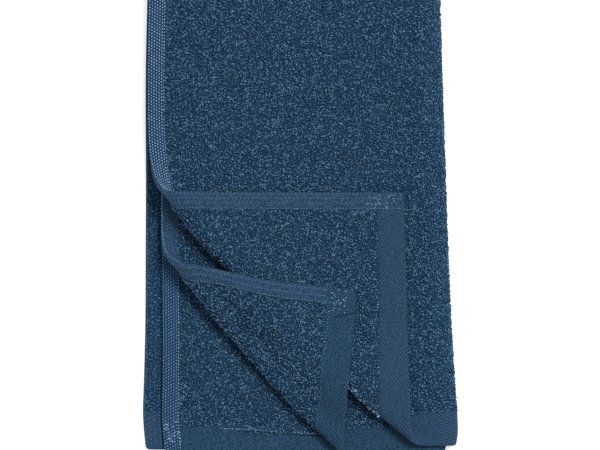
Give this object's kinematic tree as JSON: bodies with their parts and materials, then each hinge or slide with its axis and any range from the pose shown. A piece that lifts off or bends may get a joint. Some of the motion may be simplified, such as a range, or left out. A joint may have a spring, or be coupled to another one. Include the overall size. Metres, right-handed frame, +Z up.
{
  "type": "fingertip towel",
  "caption": "Small terry fingertip towel with plain woven hems, lying folded in half both ways with its two upper corners turned back.",
  "frame": {"origin": "middle of the folded towel's footprint, on the surface it lies on", "axes": "+X towards the lengthwise fold, +Y towards the crosswise fold, +Z up out of the surface"},
  "size_m": [0.147, 0.2322, 0.0261],
  "materials": {
    "terry_cotton": "dyed blue cotton terry with looped pile, plain woven hems"
  },
  "bodies": {
    "root": {"towel": "terry_cotton"}
  },
  "joints": []
}
